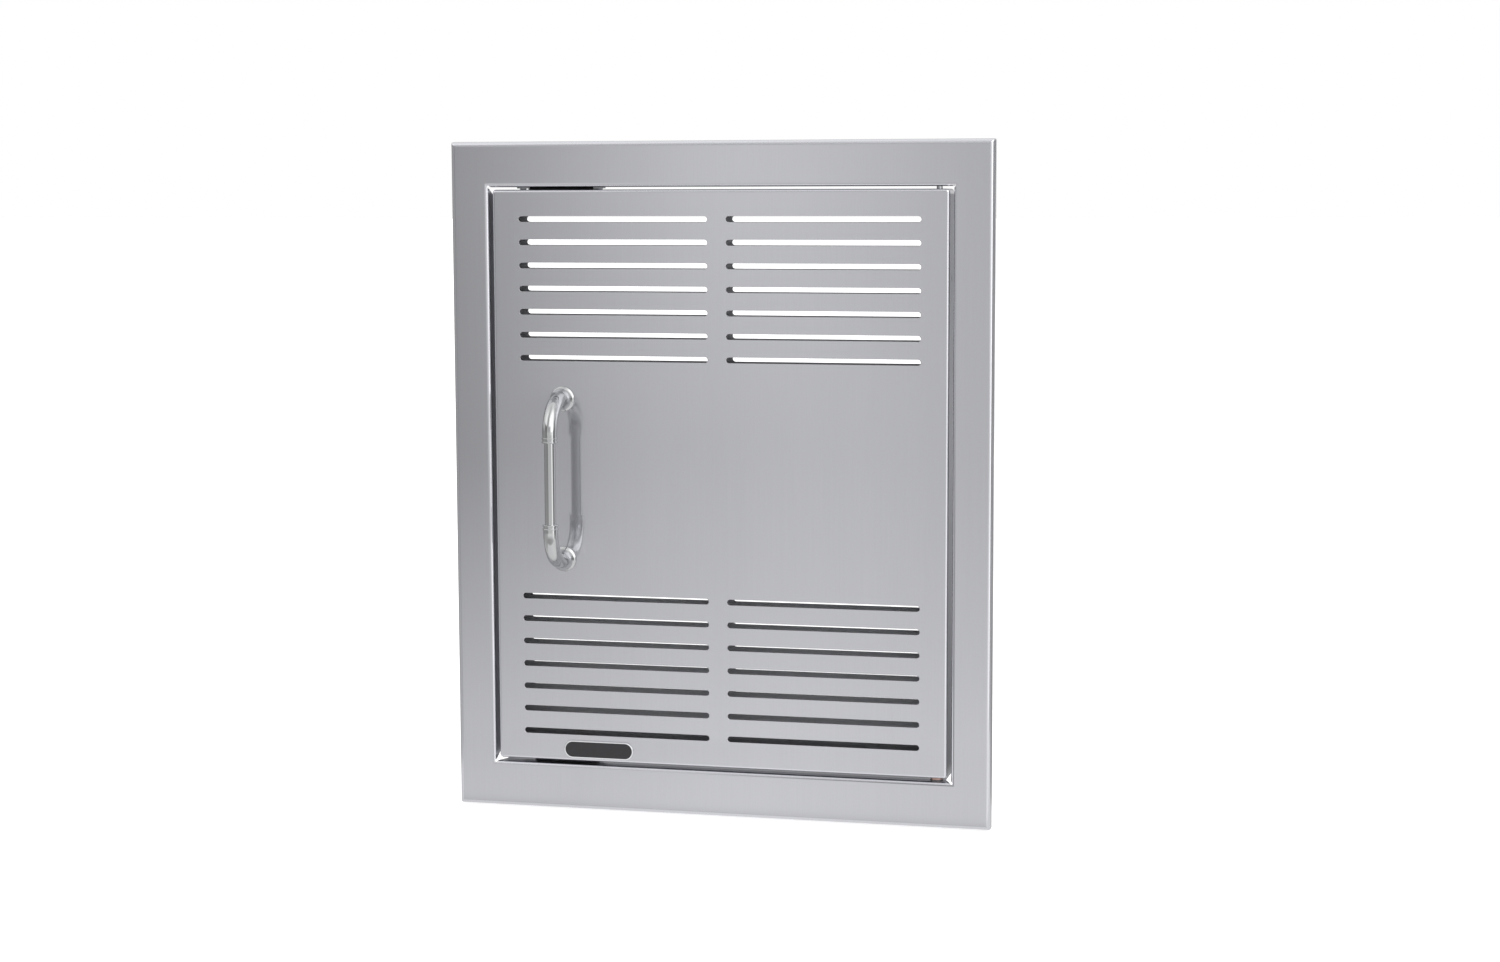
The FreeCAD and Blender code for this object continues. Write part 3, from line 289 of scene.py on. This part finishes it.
BADGE_STUD = 20.0


# ---------------------------------------------------------------- materials
class Nodes:
    """A short way to write a node tree."""

    def __init__(self, tree):
        self.t = tree

    def new(self, kind, **inputs):
        n = self.t.nodes.new(kind)
        for key, value in inputs.items():
            setattr(n, key, value)
        return n

    def link(self, a, b):
        self.t.links.new(a, b)

    def plug(self, socket, value):
        if isinstance(value, bpy.types.NodeSocket):
            self.link(value, socket)
        else:
            socket.default_value = value

    def math(self, op, a, b=None, c=None, clamp=False):
        n = self.new("ShaderNodeMath", operation=op, use_clamp=clamp)
        for i, v in enumerate((a, b, c)):
            if v is not None:
                self.plug(n.inputs[i], v)
        return n.outputs[0]

    def remap(self, value, a, b, c, d, smooth=False):
        n = self.new("ShaderNodeMapRange", interpolation_type="SMOOTHSTEP" if smooth else "LINEAR", clamp=True)
        self.plug(n.inputs["Value"], value)
        for key, v in zip(("From Min", "From Max", "To Min", "To Max"), (a, b, c, d)):
            n.inputs[key].default_value = v
        return n.outputs["Result"]

    def scaled(self, vector, sx, sy, sz):
        n = self.new("ShaderNodeMapping")
        self.link(vector, n.inputs["Vector"])
        n.inputs["Scale"].default_value = (sx, sy, sz)
        return n.outputs["Vector"]

    def noise(self, vector, scale, detail=3.0, rough=0.55):
        n = self.new("ShaderNodeTexNoise")
        self.link(vector, n.inputs["Vector"])
        n.inputs["Scale"].default_value = scale
        n.inputs["Detail"].default_value = detail
        n.inputs["Roughness"].default_value = rough
        return n.outputs["Fac"]

    def tint(self, colour, low, high, factor):
        """colour times a grey that runs from low to high with the factor."""
        g = self.remap(factor, 0.0, 1.0, low, high)
        n = self.new("ShaderNodeVectorMath", operation="SCALE")
        if isinstance(colour, bpy.types.NodeSocket):
            self.link(colour, n.inputs[0])
        else:
            n.inputs[0].default_value = colour[:3]
        self.link(g, n.inputs["Scale"])
        return n.outputs[0]


def blank(name):
    m = bpy.data.materials.new(name)
    m.use_nodes = True
    for n in list(m.node_tree.nodes):
        m.node_tree.nodes.remove(n)
    N = Nodes(m.node_tree)
    out = N.new("ShaderNodeOutputMaterial")
    return m, N, out


def principled(N, base, metallic, rough, aniso=0.0, **more):
    s = N.new("ShaderNodeBsdfPrincipled")
    if isinstance(base, bpy.types.NodeSocket):
        N.link(base, s.inputs["Base Color"])
    else:
        s.inputs["Base Color"].default_value = (*base[:3], 1)
    s.inputs["Metallic"].default_value = metallic
    N.plug(s.inputs["Roughness"], rough)
    s.inputs["Anisotropic"].default_value = aniso
    for key, v in more.items():
        N.plug(s.inputs[key.replace("_", " ")], v)
    return s


def bump(N, height, strength, distance):
    b = N.new("ShaderNodeBump")
    b.inputs["Strength"].default_value = strength
    b.inputs["Distance"].default_value = distance
    N.link(height, b.inputs["Height"])
    return b.outputs["Normal"]


def painted_edge_highlight(N):
    """1 on a folded bend or a rounded edge, 0 on the flats, from the way the surface faces: the mask for the highlight
    that the materials paint onto bends and edges.
    """
    g = N.new("ShaderNodeNewGeometry")
    a = N.new("ShaderNodeVectorMath", operation="ABSOLUTE")
    N.link(g.outputs["Normal"], a.inputs[0])
    s = N.new("ShaderNodeSeparateXYZ")
    N.link(a.outputs[0], s.inputs[0])
    top = N.math("MAXIMUM", N.math("MAXIMUM", s.outputs[0], s.outputs[1]), s.outputs[2])
    return N.remap(top, 0.995, 0.93, 0.0, 1.0, True)


def brushed(name, colour, rough_soft, rough_sharp, sharp_share, aniso=0.75, uv=True, dirt=1.0, metal=1.0):
    """Satin stainless sheet with an upright grain: a broad lobe and a sharper one, streaks, faint handling marks, and a
    highlight painted lighter on the bends.
    """
    m, N, out = blank(name)
    if uv:
        at = N.new("ShaderNodeUVMap", uv_map="grain").outputs["UV"]
        tangent = N.new("ShaderNodeTangent", direction_type="UV_MAP", uv_map="grain").outputs["Tangent"]
        hair = N.noise(N.scaled(at, 4200, 26, 1), 1.0, 4.0, 0.62)
        strand = N.noise(N.scaled(at, 900, 5.5, 1), 1.0, 3.0, 0.6)
        band = N.noise(N.scaled(at, 42, 1.3, 1), 1.0, 2.0, 0.5)
        cloud = N.noise(N.scaled(at, 9, 6, 1), 1.0, 4.0, 0.6)
    else:
        at = N.new("ShaderNodeTexCoord").outputs["Object"]
        tangent = N.new("ShaderNodeTangent", direction_type="RADIAL", axis="Z").outputs["Tangent"]
        hair = N.noise(N.scaled(at, 4200, 4200, 26), 1.0, 4.0, 0.62)
        strand = N.noise(N.scaled(at, 900, 900, 5.5), 1.0, 3.0, 0.6)
        band = N.noise(N.scaled(at, 42, 42, 1.3), 1.0, 2.0, 0.5)
        cloud = N.noise(N.scaled(at, 9, 9, 6), 1.0, 4.0, 0.6)
    edge = painted_edge_highlight(N)
    base = N.tint(colour, 0.94, 1.05, hair)
    base = N.tint(base, 0.972, 1.028, strand)
    base = N.tint(base, 0.985, 1.015, band)
    # painted highlight: bends and rounded edges made up to 30% lighter in colour
    base = N.tint(base, 1.0, 1.30, edge)
    mark = N.remap(cloud, 0.35, 0.75, -0.02 * dirt, 0.035 * dirt)
    soft = N.math("ADD", N.math("ADD", rough_soft, mark), N.remap(hair, 0.2, 0.8, -0.035, 0.035))
    sharp = N.math("ADD", N.math("ADD", rough_sharp, N.math("MULTIPLY", mark, 0.35)), N.remap(hair, 0.2, 0.8, -0.012, 0.012))
    soft = N.math("SUBTRACT", soft, N.math("MULTIPLY", edge, 0.10))
    height = N.math("ADD", N.math("MULTIPLY", hair, 0.6), N.math("MULTIPLY", strand, 0.4))
    normal = bump(N, height, 0.05, 0.00005)
    a = principled(N, base, metal, soft, aniso, Normal=normal, Tangent=tangent)
    b = principled(N, base, 1.0, sharp, aniso, Tangent=tangent)
    mix = N.new("ShaderNodeMixShader")
    N.link(N.math("ADD", N.math("MULTIPLY", edge, 0.20), sharp_share), mix.inputs[0])
    N.link(a.outputs[0], mix.inputs[1])
    N.link(b.outputs[0], mix.inputs[2])
    N.link(mix.outputs[0], out.inputs["Surface"])
    return m


def chrome(name, colour=(0.55, 0.555, 0.56), rough=0.015):
    """Bright plating: near mirror, with a breath of haze, wipe marks and hairline scuffs."""
    m, N, out = blank(name)
    at = N.new("ShaderNodeTexCoord").outputs["Object"]
    haze = N.noise(N.scaled(at, 60, 60, 60), 1.0, 4.0, 0.6)
    wipe = N.noise(N.scaled(at, 700, 700, 90), 1.0, 4.0, 0.65)
    hair = N.noise(N.scaled(at, 2600, 300, 500), 1.0, 3.0, 0.7)
    r = N.math("ADD", N.math("ADD", rough, N.remap(haze, 0.4, 0.8, 0.0, 0.02)), N.remap(wipe, 0.5, 0.85, 0.0, 0.04))
    base = N.tint(colour, 0.975, 1.015, wipe)
    normal = bump(N, N.math("ADD", N.math("MULTIPLY", haze, 0.7), N.math("MULTIPLY", hair, 0.05)), 0.02, 0.0002)
    s = principled(N, base, 1.0, r, Normal=normal)
    N.link(s.outputs[0], out.inputs["Surface"])
    return m


def worked_metal(name, colour, rough, grain=(900, 900, 900), grain_bump=0.12, mottle=0.06, rings=0.0):
    """Plated, turned or rolled small metal parts. rings adds turned lines along Z, in lines per metre."""
    m, N, out = blank(name)
    at = N.new("ShaderNodeTexCoord").outputs["Object"]
    fine = N.noise(N.scaled(at, *grain), 1.0, 4.0, 0.6)
    patch = N.noise(N.scaled(at, 130, 130, 130), 1.0, 3.0, 0.55)
    base = N.tint(colour, 1 - mottle, 1 + mottle * 0.6, patch)
    base = N.tint(base, 0.95, 1.04, fine)
    # painted highlight: edges made up to 10% lighter in colour
    base = N.tint(base, 1.0, 1.10, painted_edge_highlight(N))
    r = N.math("ADD", N.math("ADD", rough, N.remap(fine, 0.25, 0.75, -0.05, 0.05)), N.remap(patch, 0.3, 0.8, -0.03, 0.05))
    height = fine
    if rings:
        sep = N.new("ShaderNodeSeparateXYZ")
        N.link(at, sep.inputs[0])
        wave = N.math("SINE", N.math("MULTIPLY", sep.outputs[2], rings * 2 * math.pi))
        height = N.math("ADD", N.math("MULTIPLY", fine, 0.5), N.math("MULTIPLY", wave, 0.25))
    s = principled(N, base, 1.0, r, Normal=bump(N, height, grain_bump, 0.0001))
    N.link(s.outputs[0], out.inputs["Surface"])
    return m


def moulded(name, colour, rough, scale=1400, depth=0.25, coat=0.0, mottle=0.12):
    """Moulded plastic, sintered ferrite or enamel: fine texture, soft mottling, edges painted lighter as a highlight.
    """
    m, N, out = blank(name)
    at = N.new("ShaderNodeTexCoord").outputs["Object"]
    fine = N.noise(N.scaled(at, scale, scale, scale), 1.0, 4.0, 0.6)
    patch = N.noise(N.scaled(at, 90, 90, 90), 1.0, 3.0, 0.5)
    base = N.tint(colour, 1 - mottle, 1 + mottle, patch)
    base = N.tint(base, 0.9, 1.1, fine)
    # painted highlight: edges made up to 50% lighter in colour
    base = N.tint(base, 1.0, 1.5, painted_edge_highlight(N))
    r = N.math("ADD", rough, N.remap(fine, 0.25, 0.75, -0.06, 0.06))
    s = principled(N, base, 0.0, r, Normal=bump(N, fine, depth, 0.0001))
    s.inputs["Coat Weight"].default_value = coat
    s.inputs["Coat Roughness"].default_value = 0.12
    N.link(s.outputs[0], out.inputs["Surface"])
    return m


STEEL = (0.585, 0.588, 0.618)
MATERIALS = {
    "frame_steel": brushed("frame_steel_brushed", STEEL, 0.42, 0.05, 0.58),
    "leaf_steel": brushed("leaf_steel_brushed", STEEL, 0.42, 0.05, 0.58),
    "liner_steel": brushed("liner_steel_brushed", (0.52, 0.523, 0.54), 0.42, 0.26, 0.30, metal=0.8),
    "polished_chrome": chrome("polished_chrome_plate"),
    "badge_metal": chrome("badge_metal_bright", (0.82, 0.83, 0.845), 0.10),
    "badge_enamel": moulded("badge_enamel_dark", (0.016, 0.016, 0.018), 0.42, 900, 0.08, 0.0, 0.10),
    "zinc_steel": worked_metal("zinc_plated_steel", (0.56, 0.58, 0.62), 0.34),
    "pin_steel": worked_metal("turned_pin_steel", (0.52, 0.52, 0.54), 0.24, rings=2600),
    "spring_steel": worked_metal("spring_wire", (0.40, 0.40, 0.42), 0.30),
    "bronze": worked_metal("sintered_bronze", (0.44, 0.30, 0.26), 0.40, (1600, 1600, 1600), 0.25, 0.12),
    "bush_polymer": moulded("bush_nylon", (0.055, 0.055, 0.058), 0.42),
    "catch_plastic": moulded("catch_case", (0.020, 0.020, 0.022), 0.46, 1100, 0.35),
    "catch_aluminium": worked_metal("saddle_aluminium", (0.62, 0.62, 0.63), 0.36, (140, 2200, 2200), 0.14),
    "ferrite": moulded("ferrite_bar", (0.045, 0.043, 0.042), 0.62, 2400, 0.5),
    "rivet_aluminium": worked_metal("rivet_bright", (0.66, 0.66, 0.67), 0.30),
    "knob_aluminium": worked_metal("knob_turned", (0.68, 0.68, 0.69), 0.27, (300, 3000, 300), 0.2),
}
slot_of = {n: (o.data.materials[0].name if o.data.materials else None) for n, o in nodes.items()}
for n, o in nodes.items():
    slot = next(s for s in MATERIALS if slot_of[n] == s or (slot_of[n] or "").startswith(s + "."))
    for i in range(len(o.data.materials)):
        o.data.materials[i] = MATERIALS[slot]

# ---------------------------------------------------------------- pieces that stand for CAD sheets
for make, node, body in ((make_face_frame, "face_frame", "frame"), (make_door_skin, "door_skin", "door"),
                         (make_door_liner, "door_liner", "door")):
    piece = make()
    slot = slot_of[node].split(".")[0]
    piece.data.materials.clear()
    piece.data.materials.append(MATERIALS[slot])
    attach(piece, body)
    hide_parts(node)


# ---------------------------------------------------------------- studio
def plane(name, x0, x1, y0, y1, z, material):
    me = bpy.data.meshes.new(name)
    me.from_pydata([(x0, y0, z), (x1, y0, z), (x1, y1, z), (x0, y1, z)], [], [(0, 1, 2, 3)])
    ob = bpy.data.objects.new(name, me)
    bpy.context.scene.collection.objects.link(ob)
    me.materials.append(material)
    return ob


def floor_material():
    m, N, out = blank("studio_floor_white")
    d = N.new("ShaderNodeBsdfDiffuse")
    d.inputs["Color"].default_value = (0.82, 0.82, 0.82, 1)
    e = N.new("ShaderNodeEmission")
    e.inputs["Strength"].default_value = 0.62
    a = N.new("ShaderNodeAddShader")
    N.link(d.outputs[0], a.inputs[0])
    N.link(e.outputs[0], a.inputs[1])
    N.link(a.outputs[0], out.inputs["Surface"])
    return m


floor = plane("studio_floor", -40, 40, -40, 40, -0.0015, floor_material())
floor.visible_glossy = False


def table_material():
    """Soft-edged white, seen only in reflections: the strip of table that the object stands on."""
    m, N, out = blank("studio_table_white")
    at = N.new("ShaderNodeSeparateXYZ")
    N.link(N.new("ShaderNodeTexCoord").outputs["Object"], at.inputs[0])
    a = N.remap(at.outputs[1], -0.36, -0.28, 0.0, 1.0, True)
    b = N.remap(at.outputs[1], 0.12, 0.06, 0.0, 1.0, True)
    c = N.remap(at.outputs[0], -0.45, -0.35, 0.0, 1.0, True)
    d = N.remap(at.outputs[0], 0.75, 0.55, 0.0, 1.0, True)
    e = N.new("ShaderNodeEmission")
    fade = N.math("ADD", N.remap(at.outputs[0], -0.36, -0.18, 0.86, 0.92, True), N.remap(at.outputs[0], -0.18, 0.0, 0.0, 0.08, True))
    fade = N.math("SUBTRACT", fade, N.remap(at.outputs[0], 0.02, 0.26, 0.0, 0.05, True))
    shade = N.remap(at.outputs[1], -0.060, -0.012, 1.0, 0.82, True)      # the object's own shade at its foot
    N.link(N.math("MULTIPLY", fade, shade), e.inputs["Strength"])
    mix = N.new("ShaderNodeMixShader")
    N.link(N.math("MULTIPLY", N.math("MULTIPLY", a, b), N.math("MULTIPLY", c, d)), mix.inputs[0])
    N.link(N.new("ShaderNodeBsdfTransparent").outputs[0], mix.inputs[1])
    N.link(e.outputs[0], mix.inputs[2])
    N.link(mix.outputs[0], out.inputs["Surface"])
    return m


table = plane("studio_table", -0.45, 0.75, -0.38, 0.12, -0.0012, table_material())
table.visible_camera = table.visible_diffuse = table.visible_shadow = table.visible_transmission = False


def ramp(N, value, stops):
    """A grey curve through (position, grey) stops."""
    n = N.new("ShaderNodeValToRGB")
    N.link(value, n.inputs["Fac"])
    r = n.color_ramp
    r.interpolation = "LINEAR"
    while len(r.elements) > 2:
        r.elements.remove(r.elements[-1])
    r.elements[0].position, r.elements[1].position = stops[0][0], stops[-1][0]
    for p, g in stops[1:-1]:
        r.elements.new(p)
    for e, (p, g) in zip(r.elements, stops):
        e.color = (g / 4, g / 4, g / 4, 1)
    return N.math("MULTIPLY", n.outputs["Color"], 4.0)


def bearing(stops):
    """Stops given by compass bearing in degrees (0 towards the viewer, + to the right) as ramp positions."""
    return [((a + 180) / 360, g) for a, g in stops]


world = bpy.data.worlds.new("studio")
bpy.context.scene.world = world
world.use_nodes = True
for n in list(world.node_tree.nodes):
    world.node_tree.nodes.remove(n)
N = Nodes(world.node_tree)
sep = N.new("ShaderNodeSeparateXYZ")
N.link(N.new("ShaderNodeTexCoord").outputs["Generated"], sep.inputs[0])
az = N.math("ARCTAN2", sep.outputs[0], N.math("MULTIPLY", sep.outputs[1], -1.0))
turn = N.math("DIVIDE", N.math("ADD", az, math.pi), 2 * math.pi)
el = N.math("ARCSINE", sep.outputs[2])


def blend_values(a, b, t):
    return N.math("ADD", N.math("MULTIPLY", a, N.math("SUBTRACT", 1.0, t)), N.math("MULTIPLY", b, t))


# bands of the room by height (degrees above the horizon), each a curve over the compass
BANDS = {
    "horizon": [(-180, 1.0), (-167, 1.0), (-163, 0.10), (-140, 0.16), (-110, 0.34), (-75, 0.42), (-49, 0.36), (-27, 0.32), (-20, 0.37),
                (-18.4, 0.56), (-16, 0.88), (-13.5, 1.11), (-12, 1.02), (-10, 0.88), (-8.3, 0.73), (0, 0.74), (14, 0.80), (34, 1.0),
                (47, 1.1), (54, 1.7), (66, 1.7), (74, 0.35), (84, 0.22), (97, 0.22), (107, 0.5), (120, 0.5), (135, 0.12), (163, 0.10),
                (167, 1.0), (180, 1.0)],
    "level": [(-180, 1.0), (-167, 1.0), (-163, 0.10), (-140, 0.16), (-110, 0.34), (-75, 0.42), (-49, 0.36), (-27, 0.34), (-20, 0.32),
              (-18.4, 0.50), (-16, 0.77), (-14.4, 0.82), (-12.2, 0.92), (-10, 0.86), (-8.3, 0.76), (0, 0.76), (14, 0.76), (34, 0.76),
              (47, 0.9), (54, 1.6), (66, 1.6), (74, 0.30), (84, 0.22), (97, 0.24), (107, 0.5), (120, 0.5), (135, 0.12), (163, 0.10),
              (167, 1.0), (180, 1.0)],
    "near": [(-180, 0.35), (-130, 0.30), (-110, 0.45), (-75, 0.55), (-45, 0.60), (-27, 0.75), (-20, 0.94), (-16, 1.0), (-13, 1.08),
             (-10, 1.02), (-8, 0.98), (20, 1.0), (47, 1.0), (54, 1.3), (66, 1.3), (76, 0.5), (99, 0.5), (120, 0.5), (135, 0.35),
             (180, 0.35)],
    "floor": [(-180, 0.8), (-120, 0.75), (-60, 0.52), (-20, 0.46), (30, 0.55), (70, 0.75), (100, 0.75), (180, 0.8)],
    "upper": [(-180, 0.4), (-140, 0.4), (-120, 0.8), (-75, 0.7), (-55, 0.28), (-24, 0.28), (-19.5, 0.74), (-14, 0.72), (-11, 0.64),
              (-7, 0.62), (0, 0.60), (14, 0.65), (30, 0.90), (38, 2.6), (62, 2.8), (68, 2.3), (77, 0.5), (95, 0.35), (120, 0.5),
              (140, 0.4), (180, 0.4)],
    "high": [(-180, 0.8), (-110, 0.9), (-70, 1.2), (-60, 1.5), (-36, 1.2), (-25, 0.55), (-19, 0.52), (-14, 0.60), (-11, 0.60), (-5, 0.60), (4, 1.5),
             (20, 1.8), (58, 2.4), (70, 1.6), (82, 0.8), (110, 0.7), (180, 0.8)],
    "ceiling": [(-180, 1.0), (-90, 0.95), (-19, 0.82), (-8, 0.70), (10, 0.9), (60, 1.2), (90, 1.0), (180, 1.0)],
}
band = {k: ramp(N, turn, bearing(v)) for k, v in BANDS.items()}
sky = band["horizon"]
for name, start, end in (("level", 0, -5.5), ("near", -6, -12.5), ("floor", -15, -26), ("upper", 3, 9), ("high", 18, 24),
                         ("ceiling", 45, 70)):
    sky = blend_values(sky, band[name], N.remap(el, math.radians(start), math.radians(end), 0.0, 1.0))
path = N.new("ShaderNodeLightPath")
seen = blend_values(sky, 1.0, path.outputs["Is Camera Ray"])
tone = N.new("ShaderNodeCombineXYZ")
for i, k in enumerate((1.0, 1.0, 1.0)):
    N.link(N.math("MULTIPLY", seen, k), tone.inputs[i])
bg = N.new("ShaderNodeBackground")
N.link(tone.outputs[0], bg.inputs["Color"])
bg.inputs["Strength"].default_value = 1.0
out = N.new("ShaderNodeOutputWorld")
N.link(bg.outputs[0], out.inputs["Surface"])
world.cycles.sampling_method = "MANUAL"
world.cycles.sample_map_resolution = 1024

# ---------------------------------------------------------------- camera and colour
cam = bpy.data.cameras.new("camera")
cam.sensor_fit, cam.sensor_width, cam.lens = "HORIZONTAL", 36.0, 62.74
cam.clip_start, cam.clip_end = 0.05, 100
camera = bpy.data.objects.new("camera", cam)
bpy.context.scene.collection.objects.link(camera)
camera.matrix_world = Matrix(((0.9731041, -0.0230163, 0.2292132, 0.5417),
                              (0.2303467, 0.1100383, -0.9668671, -2.1735),
                              (-0.0029685, 0.9936609, 0.1123804, 0.5464),
                              (0, 0, 0, 1)))
bpy.context.scene.camera = camera
scene = bpy.context.scene
scene.view_settings.view_transform = "Standard"
scene.view_settings.look = "None"
scene.cycles.max_bounces = 14
scene.cycles.glossy_bounces = 10
scene.cycles.diffuse_bounces = 5
scene.cycles.use_denoising = True

bpy.context.view_layer.update()
